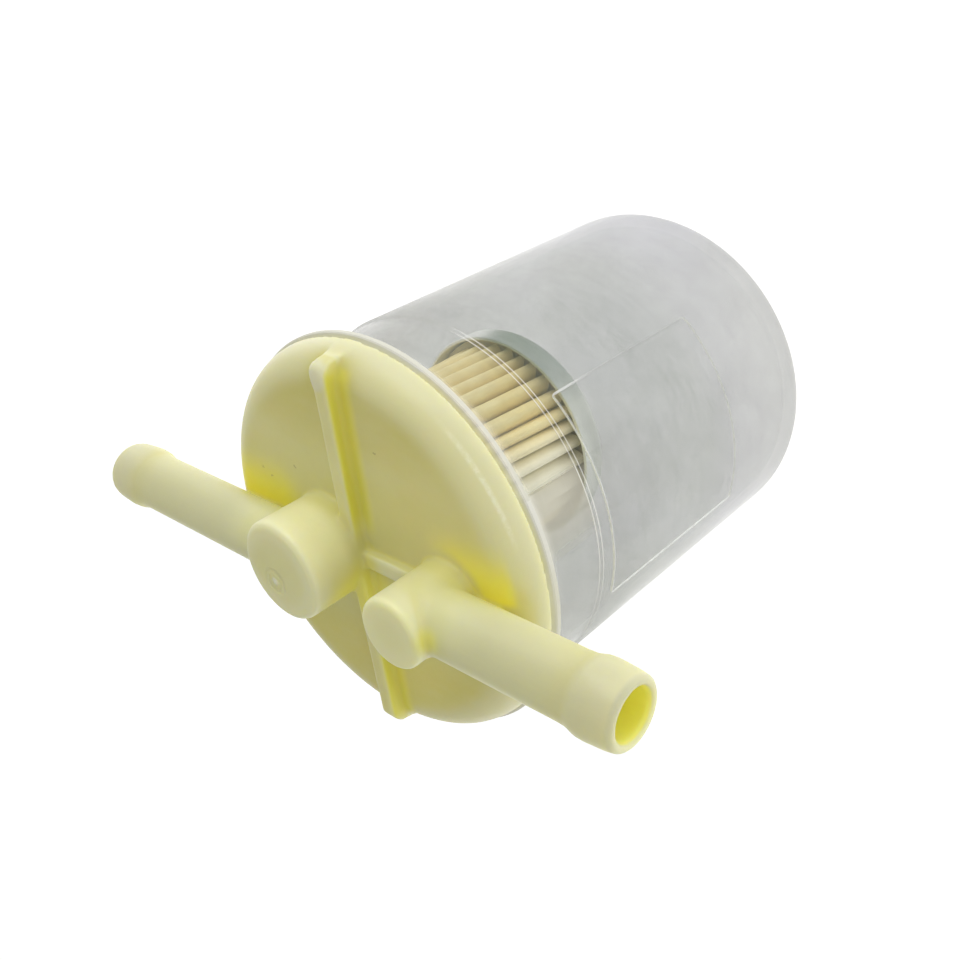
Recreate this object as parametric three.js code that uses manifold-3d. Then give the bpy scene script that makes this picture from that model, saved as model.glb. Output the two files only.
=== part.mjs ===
// Disposable in-line fuel filter: a moulded cap carries two elbows with hose nozzles and closes a
// clear bowl that holds a pleated paper element beside an inlet tube.
// Units are millimetres. The origin is the centre of the bowl's closed end. +Z runs along the
// bowl's axis to the cap, +X runs along the nozzles to the inlet, and +Y runs across them.
import * as THREE from 'three';
import { mergeVertices } from 'three/addons/utils/BufferGeometryUtils.js';
import Module from 'manifold-3d';

const wasm = await Module();
wasm.setup();

const FIT_GAP = 0.3;

// Bowl
const BOWL_RADIUS = 25.65;
const BOWL_BORE_RADIUS = 24.0;
const BOWL_EDGE_RADIUS = 3.5;
const BOWL_FLOOR = 1.8;
const BOWL_INNER_EDGE_RADIUS = 2.2;
const COLLAR_RADIUS = 25.3;
const COLLAR_STEP_Z = 49.9;
const FLANGE_RADIUS = 27.3;
const FLANGE_LOW_Z = 59.9;
const FLANGE_TOP_Z = 60.8;

// Cap
const CAP_FACE_Z = 65.3;
const CAP_RADIUS = 26.85;
const SHOULDER_RADIUS = 4.2;
const CAP_RIM_Z = CAP_FACE_Z - SHOULDER_RADIUS;
const CAP_UNDERSIDE_Z = 62.9;
const LOCATING_RING_RADIUS = 23.7;
const LOCATING_RING_BORE_RADIUS = 22.4;
const LOCATING_RING_LOW_Z = 59.6;

// Ribs on the cap's face, and the oval pad near one end of the long rib
const RIB_WIDTH = 2.3;
const LONG_RIB_X = 0.1;
const LONG_RIB_HEIGHT = 1.8;
const SHORT_RIB_HEIGHT = 1.2;
const SHORT_RIB_REACH = 23.2;
const PAD_X = -0.6;
const PAD_Y = 24.2;
const PAD_RADIUS = 1.5;
const PAD_LENGTHENING = 1.2;
const PAD_HEIGHT = 1.5;

// Elbows: bosses and nozzles
const ELBOW_LOW_Z = CAP_FACE_Z + FIT_GAP;
const OUTLET_BOSS_X = -5.3;
const OUTLET_BOSS_RADIUS = 6.8;
const OUTLET_BOSS_TOP_Z = 74.45;
const INLET_BOSS_X = 15.0;
const INLET_BOSS_RADIUS = 4.56;
const INLET_BOSS_TOP_Z = 75.15;
const NOZZLE_Z = 69.65;
const NOZZLE_RADIUS = 4.0;
const NOZZLE_BORE_RADIUS = 2.9;
const BARB_RADIUS = 4.5;
const OUTLET_TIP_X = -45.6;
const INLET_TIP_X = 44.2;

// Inlet tube and the spigot that holds it
const INLET_SPIGOT_RADIUS = 3.4;
const INLET_SPIGOT_LOW_Z = 58.9;
const INLET_TUBE_RADIUS = 4.5;
const INLET_TUBE_BORE_RADIUS = 3.6;
const INLET_TUBE_LOW_Z = 28.6;

// Outlet spigot and its seal
const OUTLET_SPIGOT_RADIUS = 3.9;
const OUTLET_SPIGOT_LOW_Z = 54.0;
const SEAL_BORE_RADIUS = 4.1;
const SEAL_NECK_RADIUS = 4.9;
const SEAL_HEAD_RADIUS = 7.0;

// Filter element, centred under the outlet boss
const ELEMENT_X = OUTLET_BOSS_X;
const PLEATS = 28;
const PLEAT_RADIUS = 14.3;
const PLEAT_ROOT_RADIUS = 8.8;
const PAPER_THICKNESS = 0.5;
const PLEATS_LOW_Z = 31.3;
const PLEATS_TOP_Z = 58.7;
const CORE_RADIUS = 8.0;
const CORE_BORE_RADIUS = 7.3;
const FAR_PLATE_RADIUS = 15.7;
const FAR_PLATE_LOW_Z = 28.9;
const FAR_PLATE_LIP_Z = 33.0;
const NEAR_PLATE_RADIUS = 15.4;
const NEAR_PLATE_TOP_Z = 61.0;
const NEAR_PLATE_LIP_Z = 57.0;
const PLATE_THICKNESS = 0.5;

// Label film on the bowl
const LABEL_GAP = 0.15;
const LABEL_THICKNESS = 0.2;
const LABEL_LOW_Z = 20.3;
const LABEL_TOP_Z = 48.0;
const LABEL_START_DEG = -14;
const LABEL_END_DEG = 47;

// Points of a circular arc in a half-section, as [radius, height] pairs.
function arcPoints(centreR, centreZ, radius, startDeg, endDeg, steps) {
  const points = [];
  for (let i = 0; i <= steps; i += 1) {
    const angle = THREE.MathUtils.degToRad(startDeg + ((endDeg - startDeg) * i) / steps);
    points.push([centreR + radius * Math.cos(angle), centreZ + radius * Math.sin(angle)]);
  }
  return points;
}

// A body turned about the Z axis from its half-section, listed from the low end outwards and up.
function turnedZ(section, segments) {
  const profile = section.map(([radius, height]) => new THREE.Vector2(radius, height));
  const geometry = new THREE.LatheGeometry(profile, segments);
  geometry.rotateX(Math.PI / 2);
  return geometry;
}

// A body turned about the X axis, at the nozzles' height. The section lists [radius, x] pairs.
function turnedX(section, segments) {
  const profile = section.map(([radius, along]) => new THREE.Vector2(radius, along));
  const geometry = new THREE.LatheGeometry(profile, segments);
  geometry.rotateZ(-Math.PI / 2);
  geometry.translate(0, 0, NOZZLE_Z);
  return geometry;
}

function rodZ(radius, x, lowZ, topZ, segments) {
  const geometry = turnedZ([[0, lowZ], [radius, lowZ], [radius, topZ], [0, topZ]], segments);
  geometry.translate(x, 0, 0);
  return geometry;
}

function ringZ(boreRadius, radius, lowZ, topZ, segments) {
  const section = [
    [boreRadius, lowZ],
    [radius, lowZ],
    [radius, topZ],
    [boreRadius, topZ],
    [boreRadius, lowZ],
  ];
  return turnedZ(section, segments);
}

function block(lowX, highX, lowY, highY, lowZ, highZ) {
  const geometry = new THREE.BoxGeometry(highX - lowX, highY - lowY, highZ - lowZ);
  geometry.translate((lowX + highX) / 2, (lowY + highY) / 2, (lowZ + highZ) / 2);
  return geometry;
}

// A closed three.js geometry as a manifold-3d solid.
function solidOf(geometry) {
  const plain = geometry.clone();
  plain.deleteAttribute('normal');
  plain.deleteAttribute('uv');
  const merged = mergeVertices(plain, 1e-4);
  const vertProperties = new Float32Array(merged.attributes.position.array);
  const triVerts = new Uint32Array(merged.index.array);
  return new wasm.Manifold(new wasm.Mesh({ numProp: 3, vertProperties, triVerts }));
}

function geometryOf(solid) {
  const mesh = solid.getMesh();
  const geometry = new THREE.BufferGeometry();
  const positions = new Float32Array(mesh.vertProperties);
  geometry.setAttribute('position', new THREE.BufferAttribute(positions, 3));
  geometry.setIndex(new THREE.BufferAttribute(new Uint32Array(mesh.triVerts), 1));
  geometry.computeVertexNormals();
  return geometry;
}

// The bowl: closed flat end, a long body, a slightly narrower collar and a flange at the mouth.
function bowlGeometry() {
  const innerEdgeR = BOWL_BORE_RADIUS - BOWL_INNER_EDGE_RADIUS;
  const section = [
    [0, 0],
    ...arcPoints(BOWL_RADIUS - BOWL_EDGE_RADIUS, BOWL_EDGE_RADIUS, BOWL_EDGE_RADIUS, -90, 0, 6),
    [BOWL_RADIUS, COLLAR_STEP_Z - 0.3],
    [COLLAR_RADIUS, COLLAR_STEP_Z + 0.3],
    [COLLAR_RADIUS, FLANGE_LOW_Z - 2.4],
    [COLLAR_RADIUS + 0.25, FLANGE_LOW_Z - 1.2],
    [COLLAR_RADIUS + 0.9, FLANGE_LOW_Z - 0.4],
    [FLANGE_RADIUS, FLANGE_LOW_Z],
    [FLANGE_RADIUS, FLANGE_TOP_Z],
    [BOWL_BORE_RADIUS, FLANGE_TOP_Z],
    ...arcPoints(innerEdgeR, BOWL_FLOOR + BOWL_INNER_EDGE_RADIUS, BOWL_INNER_EDGE_RADIUS, 0, -90, 4),
    [0, BOWL_FLOOR],
  ];
  return turnedZ(section, 64);
}

// The cap's disc, with its rounded shoulder and the ring that locates it in the bowl's mouth.
function capDisc() {
  const section = [
    [0, CAP_UNDERSIDE_Z],
    [LOCATING_RING_BORE_RADIUS, CAP_UNDERSIDE_Z],
    [LOCATING_RING_BORE_RADIUS, LOCATING_RING_LOW_Z],
    [LOCATING_RING_RADIUS, LOCATING_RING_LOW_Z],
    [LOCATING_RING_RADIUS, CAP_RIM_Z],
    ...arcPoints(CAP_RADIUS - SHOULDER_RADIUS, CAP_RIM_Z, SHOULDER_RADIUS, 0, 90, 6),
    [0, CAP_FACE_Z],
  ];
  return turnedZ(section, 64);
}

// The long rib runs from rim to rim and rounds over at both ends.
function longRib() {
  const crestZ = CAP_FACE_Z + LONG_RIB_HEIGHT;
  const lowZ = CAP_UNDERSIDE_Z + 0.15;
  const reach = CAP_RADIUS - 0.6;
  const outline = new THREE.Shape();
  outline.moveTo(-reach, lowZ);
  outline.lineTo(reach, lowZ);
  outline.lineTo(reach, CAP_FACE_Z - 1.0);
  outline.quadraticCurveTo(reach, crestZ, reach - 2.6, crestZ);
  outline.lineTo(2.6 - reach, crestZ);
  outline.quadraticCurveTo(-reach, crestZ, -reach, CAP_FACE_Z - 1.0);
  outline.closePath();
  const geometry = new THREE.ExtrudeGeometry(outline, {
    depth: RIB_WIDTH,
    bevelEnabled: false,
    curveSegments: 4,
  });
  geometry.rotateX(Math.PI / 2);
  geometry.rotateZ(Math.PI / 2);
  geometry.translate(LONG_RIB_X - RIB_WIDTH / 2, 0, 0);
  return geometry;
}

// The oval pad near the +Y end of the long rib.
function ribPad() {
  const geometry = rodZ(PAD_RADIUS, 0, CAP_FACE_Z - 2.0, CAP_FACE_Z + PAD_HEIGHT, 24);
  geometry.scale(1, PAD_LENGTHENING, 1);
  geometry.translate(PAD_X, PAD_Y, 0);
  return geometry;
}

function boss(x, radius, topZ, edgeRadius) {
  const section = [
    [0, ELBOW_LOW_Z],
    [radius, ELBOW_LOW_Z],
    ...arcPoints(radius - edgeRadius, topZ - edgeRadius, edgeRadius, 0, 90, 3),
    [0, topZ],
  ];
  const geometry = turnedZ(section, 40);
  geometry.translate(x, 0, 0);
  return geometry;
}

// A nozzle from its boss's centre to its tip: a plain tube that swells to a hose barb.
function nozzle(rootX, tipX) {
  const side = Math.sign(tipX);
  const along = (distanceFromTip) => tipX - side * distanceFromTip;
  const section = [
    [0, rootX],
    [NOZZLE_RADIUS, rootX],
    [NOZZLE_RADIUS, along(6.0)],
    [BARB_RADIUS - 0.05, along(4.9)],
    [BARB_RADIUS, along(3.9)],
    [BARB_RADIUS - 0.3, along(1.1)],
    [BARB_RADIUS - 0.55, along(0.4)],
    [BARB_RADIUS - 1.0, tipX],
    [0, tipX],
  ];
  return turnedX(side > 0 ? section : section.reverse(), 32);
}

function nozzleBore(rootX, tipX) {
  const side = Math.sign(tipX);
  const section = [
    [0, rootX],
    [NOZZLE_BORE_RADIUS, rootX],
    [NOZZLE_BORE_RADIUS, tipX - side * 0.4],
    [NOZZLE_BORE_RADIUS + 0.3, tipX + side * 0.2],
    [0, tipX + side * 0.2],
  ];
  return turnedX(side > 0 ? section : section.reverse(), 28);
}

// One solid from a first shape, the shapes joined to it and then the shapes cut from it.
function combined(first, joined, cut) {
  let solid = solidOf(first);
  for (const piece of joined) {
    solid = solid.add(solidOf(piece));
  }
  for (const piece of cut) {
    solid = solid.subtract(solidOf(piece));
  }
  return geometryOf(solid);
}

// The cap: its disc and ribs, cleared for the two elbows that stand on it and pass through it.
function capGeometry() {
  const halfRib = RIB_WIDTH / 2;
  const ribTopZ = CAP_FACE_Z + SHORT_RIB_HEIGHT;
  const holeLowZ = CAP_UNDERSIDE_Z - 1;
  const clearTopZ = CAP_FACE_Z + 3;
  const outletClearance = OUTLET_BOSS_RADIUS + FIT_GAP;
  const inletClearance = INLET_BOSS_RADIUS + FIT_GAP;
  const ribs = [
    longRib(),
    ribPad(),
    block(LONG_RIB_X, INLET_BOSS_X, -halfRib, halfRib, CAP_FACE_Z - 0.8, ribTopZ),
  ];
  const clearances = [
    rodZ(outletClearance, OUTLET_BOSS_X, CAP_FACE_Z, clearTopZ, 40),
    rodZ(inletClearance, INLET_BOSS_X, CAP_FACE_Z, clearTopZ, 40),
    rodZ(OUTLET_SPIGOT_RADIUS + FIT_GAP, OUTLET_BOSS_X, holeLowZ, clearTopZ, 32),
    rodZ(INLET_SPIGOT_RADIUS + FIT_GAP, INLET_BOSS_X, holeLowZ, clearTopZ, 32),
  ];
  return combined(capDisc(), ribs, clearances);
}

// An elbow: a boss, its nozzle, the web under the nozzle and the spigot that goes down into the bowl.
// One passage runs from the nozzle's tip through the boss and down the spigot.
function elbowGeometry(bossBody, bossX, tipX, spigotRadius, spigotLowZ) {
  const halfRib = RIB_WIDTH / 2;
  const webEndX = Math.sign(tipX) * SHORT_RIB_REACH;
  const webLowX = Math.min(bossX, webEndX);
  const webHighX = Math.max(bossX, webEndX);
  const joined = [
    nozzle(bossX, tipX),
    block(webLowX, webHighX, -halfRib, halfRib, ELBOW_LOW_Z, CAP_FACE_Z + SHORT_RIB_HEIGHT),
    rodZ(spigotRadius, bossX, spigotLowZ, ELBOW_LOW_Z + 1, 28),
  ];
  const passage = [
    nozzleBore(bossX, tipX),
    rodZ(NOZZLE_BORE_RADIUS, bossX, spigotLowZ - 1, NOZZLE_Z, 28),
  ];
  return combined(bossBody, joined, passage);
}

function outletElbowGeometry() {
  const body = boss(OUTLET_BOSS_X, OUTLET_BOSS_RADIUS, OUTLET_BOSS_TOP_Z, 0.9);
  return elbowGeometry(body, OUTLET_BOSS_X, OUTLET_TIP_X, OUTLET_SPIGOT_RADIUS, OUTLET_SPIGOT_LOW_Z);
}

function inletElbowGeometry() {
  const body = boss(INLET_BOSS_X, INLET_BOSS_RADIUS, INLET_BOSS_TOP_Z, 0.6);
  return elbowGeometry(body, INLET_BOSS_X, INLET_TIP_X, INLET_SPIGOT_RADIUS, INLET_SPIGOT_LOW_Z);
}

// The paper is one closed zigzag band: its outer line and its inner line differ by its thickness.
function pleatLine(tipRadius, rootRadius, halfTip, halfRoot) {
  const points = [];
  const pitch = (2 * Math.PI) / PLEATS;
  for (let i = 0; i < PLEATS; i += 1) {
    const tipAngle = i * pitch;
    const rootAngle = tipAngle + pitch / 2;
    const corners = [
      [tipRadius, tipAngle - halfTip / tipRadius],
      [tipRadius, tipAngle + halfTip / tipRadius],
      [rootRadius, rootAngle - halfRoot / rootRadius],
      [rootRadius, rootAngle + halfRoot / rootRadius],
    ];
    for (const [radius, angle] of corners) {
      points.push(new THREE.Vector2(radius * Math.cos(angle), radius * Math.sin(angle)));
    }
  }
  return points;
}

function pleatedPaperGeometry() {
  const outline = new THREE.Shape(pleatLine(PLEAT_RADIUS, PLEAT_ROOT_RADIUS, 0.55, 0.12));
  const tip = PLEAT_RADIUS - PAPER_THICKNESS;
  const root = PLEAT_ROOT_RADIUS - PAPER_THICKNESS;
  outline.holes.push(new THREE.Path(pleatLine(tip, root, 0.1, 0.5)));
  const geometry = new THREE.ExtrudeGeometry(outline, {
    depth: PLEATS_TOP_Z - PLEATS_LOW_Z,
    bevelEnabled: false,
  });
  geometry.translate(0, 0, PLEATS_LOW_Z);
  return geometry;
}

// The core tube has three rows of windows through which the filtered fuel reaches its bore.
function coreTubeGeometry() {
  const lowZ = FAR_PLATE_LOW_Z + PLATE_THICKNESS + FIT_GAP;
  const topZ = NEAR_PLATE_TOP_Z - PLATE_THICKNESS - FIT_GAP;
  const windowRows = 5;
  const rowPitch = (PLEATS_TOP_Z - PLEATS_LOW_Z) / windowRows;
  let core = solidOf(ringZ(CORE_BORE_RADIUS, CORE_RADIUS, lowZ, topZ, 36));
  for (let row = 0; row < windowRows; row += 1) {
    const middleZ = PLEATS_LOW_Z + rowPitch * (row + 0.5);
    for (let turn = 0; turn < 3; turn += 1) {
      const slot = block(-9, 9, -1.6, 1.6, middleZ - 1.5, middleZ + 1.5);
      slot.rotateZ((turn * Math.PI) / 3 + (row % 2) * (Math.PI / 6));
      core = core.subtract(solidOf(slot));
    }
  }
  return geometryOf(core);
}

// An end plate is a shallow pressed cup. The far plate is blind.
function farPlateGeometry() {
  const innerR = FAR_PLATE_RADIUS - PLATE_THICKNESS;
  const section = [
    [0, FAR_PLATE_LOW_Z],
    [FAR_PLATE_RADIUS - 0.5, FAR_PLATE_LOW_Z],
    [FAR_PLATE_RADIUS, FAR_PLATE_LOW_Z + 0.5],
    [FAR_PLATE_RADIUS, FAR_PLATE_LIP_Z],
    [innerR, FAR_PLATE_LIP_Z],
    [innerR, FAR_PLATE_LOW_Z + PLATE_THICKNESS],
    [0, FAR_PLATE_LOW_Z + PLATE_THICKNESS],
  ];
  return turnedZ(section, 48);
}

// The near plate has a hole for the seal's neck.
function nearPlateGeometry() {
  const innerR = NEAR_PLATE_RADIUS - PLATE_THICKNESS;
  const holeR = SEAL_NECK_RADIUS + FIT_GAP;
  const undersideZ = NEAR_PLATE_TOP_Z - PLATE_THICKNESS;
  const section = [
    [holeR, undersideZ],
    [innerR, undersideZ],
    [innerR, NEAR_PLATE_LIP_Z],
    [NEAR_PLATE_RADIUS, NEAR_PLATE_LIP_Z],
    [NEAR_PLATE_RADIUS, NEAR_PLATE_TOP_Z - 0.5],
    [NEAR_PLATE_RADIUS - 0.5, NEAR_PLATE_TOP_Z],
    [holeR, NEAR_PLATE_TOP_Z],
    [holeR, undersideZ],
  ];
  return turnedZ(section, 48);
}

// The outlet seal is a grommet: its neck sits in the near plate, its head meets the cap.
function outletSealGeometry() {
  const headLowZ = NEAR_PLATE_TOP_Z + 0.2;
  const headTopZ = CAP_UNDERSIDE_Z - 0.2;
  const section = [
    [SEAL_BORE_RADIUS, NEAR_PLATE_TOP_Z - 1.2],
    [SEAL_NECK_RADIUS, NEAR_PLATE_TOP_Z - 1.2],
    [SEAL_NECK_RADIUS, headLowZ],
    [SEAL_HEAD_RADIUS, headLowZ],
    [SEAL_HEAD_RADIUS, headTopZ],
    [SEAL_BORE_RADIUS, headTopZ],
    [SEAL_BORE_RADIUS, NEAR_PLATE_TOP_Z - 1.2],
  ];
  return turnedZ(section, 32);
}

// The label is a thin film that follows part of the bowl's side.
function labelGeometry() {
  const innerR = BOWL_RADIUS + LABEL_GAP;
  const outerR = innerR + LABEL_THICKNESS;
  const start = THREE.MathUtils.degToRad(LABEL_START_DEG);
  const end = THREE.MathUtils.degToRad(LABEL_END_DEG);
  const steps = 20;
  const outline = [];
  for (let i = 0; i <= steps; i += 1) {
    const angle = start + ((end - start) * i) / steps;
    outline.push(new THREE.Vector2(outerR * Math.cos(angle), outerR * Math.sin(angle)));
  }
  for (let i = steps; i >= 0; i -= 1) {
    const angle = start + ((end - start) * i) / steps;
    outline.push(new THREE.Vector2(innerR * Math.cos(angle), innerR * Math.sin(angle)));
  }
  const geometry = new THREE.ExtrudeGeometry(new THREE.Shape(outline), {
    depth: LABEL_TOP_Z - LABEL_LOW_Z,
    bevelEnabled: false,
  });
  geometry.translate(0, 0, LABEL_LOW_Z);
  return geometry;
}

const YELLOW_PLASTIC = { color: 0xdcdcae, roughness: 0.45, metalness: 0 };
const CLEAR_PLASTIC = { color: 0xcbccd0, roughness: 0.2, metalness: 0, transparent: true, opacity: 0.4 };
const LABEL_PLASTIC = { color: 0xc0c4bc, roughness: 0.4, metalness: 0, transparent: true, opacity: 0.5 };
const TUBE_PLASTIC = { color: 0xd8d5c6, roughness: 0.4, metalness: 0 };
const FILTER_PAPER = { color: 0xd8c890, roughness: 0.9, metalness: 0 };
const PLATED_STEEL = { color: 0xa8b2b0, roughness: 0.4, metalness: 0.8 };
const POTTING_RESIN = { color: 0xb8a878, roughness: 0.5, metalness: 0 };
const WHITE_PLASTIC = { color: 0xdedbd0, roughness: 0.5, metalness: 0 };
const BLACK_RUBBER = { color: 0x202020, roughness: 0.8, metalness: 0 };

const filter = new THREE.Group();

function addPart(name, geometry, look, x = 0) {
  const mesh = new THREE.Mesh(geometry, new THREE.MeshStandardMaterial(look));
  mesh.name = name;
  mesh.position.x = x;
  filter.add(mesh);
}

const farResinLowZ = FAR_PLATE_LOW_Z + PLATE_THICKNESS + FIT_GAP;
const farResinTopZ = PLEATS_LOW_Z - FIT_GAP;
const nearResinLowZ = PLEATS_TOP_Z + FIT_GAP;
const nearResinTopZ = NEAR_PLATE_TOP_Z - PLATE_THICKNESS - FIT_GAP;
const resinBoreR = CORE_RADIUS + FIT_GAP;
const farResinR = FAR_PLATE_RADIUS - PLATE_THICKNESS - FIT_GAP;
const nearResinR = NEAR_PLATE_RADIUS - PLATE_THICKNESS - FIT_GAP;
const tubeTopZ = CAP_UNDERSIDE_Z - 0.2;

addPart('cap', capGeometry(), YELLOW_PLASTIC);
addPart('outlet_elbow', outletElbowGeometry(), YELLOW_PLASTIC);
addPart('inlet_elbow', inletElbowGeometry(), YELLOW_PLASTIC);
addPart('bowl', bowlGeometry(), CLEAR_PLASTIC);
addPart('label_film', labelGeometry(), LABEL_PLASTIC);
addPart('pleated_paper', pleatedPaperGeometry(), FILTER_PAPER, ELEMENT_X);
addPart('core_tube', coreTubeGeometry(), WHITE_PLASTIC, ELEMENT_X);
addPart('far_end_plate', farPlateGeometry(), PLATED_STEEL, ELEMENT_X);
addPart('near_end_plate', nearPlateGeometry(), PLATED_STEEL, ELEMENT_X);
addPart(
  'far_potting_ring',
  ringZ(resinBoreR, farResinR, farResinLowZ, farResinTopZ, 36),
  POTTING_RESIN,
  ELEMENT_X,
);
addPart(
  'near_potting_ring',
  ringZ(resinBoreR, nearResinR, nearResinLowZ, nearResinTopZ, 36),
  POTTING_RESIN,
  ELEMENT_X,
);
addPart('outlet_seal', outletSealGeometry(), BLACK_RUBBER, OUTLET_BOSS_X);
addPart(
  'inlet_tube',
  ringZ(INLET_TUBE_BORE_RADIUS, INLET_TUBE_RADIUS, INLET_TUBE_LOW_Z, tubeTopZ, 32),
  TUBE_PLASTIC,
  INLET_BOSS_X,
);

export default filter;
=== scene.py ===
import math
from functools import reduce

import bpy
import numpy as np
from mathutils import Matrix, Vector


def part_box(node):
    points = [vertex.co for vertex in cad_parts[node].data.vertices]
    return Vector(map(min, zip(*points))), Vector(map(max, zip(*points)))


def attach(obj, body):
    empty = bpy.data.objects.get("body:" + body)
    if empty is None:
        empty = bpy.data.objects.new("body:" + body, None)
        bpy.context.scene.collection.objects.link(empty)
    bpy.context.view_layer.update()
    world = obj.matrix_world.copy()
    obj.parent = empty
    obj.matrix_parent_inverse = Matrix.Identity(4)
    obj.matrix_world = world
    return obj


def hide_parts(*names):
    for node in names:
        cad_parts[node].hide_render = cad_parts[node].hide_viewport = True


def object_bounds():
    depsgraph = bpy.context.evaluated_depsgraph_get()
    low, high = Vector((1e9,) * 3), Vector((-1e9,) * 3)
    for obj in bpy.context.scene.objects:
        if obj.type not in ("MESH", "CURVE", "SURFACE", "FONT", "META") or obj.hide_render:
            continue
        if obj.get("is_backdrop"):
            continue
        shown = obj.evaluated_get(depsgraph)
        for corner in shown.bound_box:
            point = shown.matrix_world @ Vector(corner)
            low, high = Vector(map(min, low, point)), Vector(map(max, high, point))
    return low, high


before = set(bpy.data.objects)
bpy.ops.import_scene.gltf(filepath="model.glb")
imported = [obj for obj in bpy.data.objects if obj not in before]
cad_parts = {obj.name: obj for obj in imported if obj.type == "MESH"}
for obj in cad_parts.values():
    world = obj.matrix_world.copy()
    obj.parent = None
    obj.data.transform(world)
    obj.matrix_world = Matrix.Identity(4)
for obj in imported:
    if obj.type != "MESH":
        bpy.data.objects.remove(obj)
CAD_LOW, CAD_HIGH = (v.copy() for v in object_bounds())

MM = 0.001
GRID = 0.3                # spacing of the cap's surface grid, mm

# Cap, mm
FACE_Z = 65.3
CAP_R = 26.85
SHOULDER_R = 4.2
RIM_Z = FACE_Z - SHOULDER_R
UNDERSIDE_Z = 62.9
RING_R, RING_BORE_R, RING_LOW_Z = 23.7, 22.4, 59.6
RIB_HALF = 1.15
LONG_RIB_X, LONG_RIB_HEIGHT, SHORT_RIB_HEIGHT = 0.1, 1.8, 1.2
RIB_END_INSET, RIB_END_R = 0.6, 2.6
# How far the long rib's upper and lower halves lean in X for each millimetre along Y.
LONG_RIB_SLANT, LONG_RIB_LOW_SLANT = 0.026, 0.060
PAD_X, PAD_Y, PAD_R, PAD_HEIGHT = -1.1, 24.2, 1.5, 1.5
SHORT_RIBS_END_X = 23.2
OUTLET_X, OUTLET_R, OUTLET_TOP_Z = -5.3, 6.8, 74.45
INLET_X, INLET_R, INLET_TOP_Z = 15.0, 4.56, 75.15
NOZZLE_Z, NOZZLE_R, NOZZLE_BORE_R, BARB_R = 69.65, 4.0, 2.9, 4.5
NOZZLE_EDGE, BORE_FLARE, BORE_FLARE_DEPTH = 0.45, 0.35, 0.7
OUTLET_TIP_X, INLET_TIP_X = -45.6, 44.2
SPIGOT_R, SPIGOT_LOW_Z = 3.9, 54.0           # goes into the element's seal
SOCKET_R, SOCKET_LOW_Z = 3.4, 58.9           # goes into the inlet tube
SPIGOTS_TOP_Z = 64.5
PASSAGE_OVERRUN = 1.0                        # how far the passages are cut past the spigots
RIB_BLEND, PAD_BLEND, SHORT_RIB_BLEND = 1.0, 0.8, 0.55
OUTLET_BLEND, INLET_BLEND, BOSS_BLEND = 0.9, 0.7, 0.6
CROTCH = (19.7, 0.4, 73.6)                   # where the top of the inlet nozzle leaves its boss
GATE = (OUTLET_X - 1.25, -1.8, OUTLET_TOP_Z)    # the moulding's gate mark, on the outlet boss
SPECKS = ((5.4, 15.6, 0.30), (-18.2, 6.8, 0.26), (-10.9, 9.0, 0.22), (-16.4, 5.9, 0.20))    # x, y, radius

# Bowl and its film, mm
BOWL_R, BOWL_BORE_R = 25.65, 24.0
BOWL_FLOOR, BOWL_EDGE_R, BOWL_INNER_EDGE_R = 1.8, 3.5, 2.2
STEP_Z, COLLAR_R = 49.9, 25.3
FLANGE_R, FLANGE_LOW_Z, FLANGE_TOP_Z = 27.3, 59.9, 60.8
FILM_R, FILM_THICKNESS, FILM_CORNER_R = 25.8, 0.2, 0.6
FILM_LOW_Z, FILM_TOP_Z = 20.3, 48.0
FILM_START, FILM_END = math.radians(-14), math.radians(47)
VEIL_START = math.radians(28.5)              # where the collar's wall turns milky enough to hide the pleats

# Filter element, mm
ELEMENT_X = OUTLET_X
PLEATS = 28
PLEAT_R, PLEAT_ROOT_R, PAPER_THICKNESS = 14.3, 8.8, 0.42
PAPER_LOW_Z, PAPER_TOP_Z = 31.3, 58.7
PAPER_TWIST_DEG = 7.0
PAPER_SEED = 7
FOLD_POWER = 0.40                            # below 1, the folds are blunt outside and sharp inside
# The bunched folds' angles at the far plate.
PLEAT_TIPS_DEG = (0, 11.5, 22, 30.5, 41, 54, 65.5, 74, 83, 93.5, 104.5)
FAR_PLATE_R, FAR_PLATE_LOW_Z, FAR_PLATE_LIP_Z = 15.7, 28.9, 33.0
NEAR_PLATE_R, NEAR_PLATE_LIP_Z, NEAR_PLATE_TOP_Z = 15.4, 57.0, 61.0
NEAR_PLATE_HOLE_R = 5.2
PLATE_THICKNESS = 0.5
RESIN_BORE_R = 8.3
SEAL_HEAD_R, SEAL_NECK_R, SEAL_BORE_R = 7.0, 4.9, 4.1
TUBE_R, TUBE_BORE_R, TUBE_LOW_Z, TUBE_TOP_Z = 4.5, 3.6, 28.6, 62.7

# Studio and camera, metres and watts
FLOOR_HALF, FLOOR_Z = 6.0, -0.00015
FLOOR_GLOW, WORLD_STRENGTH = 0.58, 0.525
KEY = {"position": (-0.10, 0.85, 0.22), "size": 0.7, "power": 3.05}
FILL = {"position": (0.75, -0.10, 0.25), "size": 0.6, "power": 0.6}
SENSOR_WIDTH, LENS = 36.0, 39.8406           # mm
CAMERA_POSITION = (0.09044, 0.07161, 0.13300)
CAMERA_RIGHT, CAMERA_FORWARD = (0.7372, -0.0942, -0.6691), (-0.6189, -0.4915, -0.6127)


# ---------------------------------------------------------------- meshes

def new_piece(name, vertices, faces, nodes, slot):
    """A smooth piece from vertices in millimetres, in place of the named nodes."""
    mesh = bpy.data.meshes.new(name)
    mesh.from_pydata((np.asarray(vertices, float) * MM).tolist(), [], [tuple(f) for f in faces])
    mesh.validate()
    mesh.polygons.foreach_set("use_smooth", [True] * len(mesh.polygons))
    mesh.update()
    piece = bpy.data.objects.new(name, mesh)
    bpy.context.scene.collection.objects.link(piece)
    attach(piece, "root")
    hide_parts(*nodes)
    return piece


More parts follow.
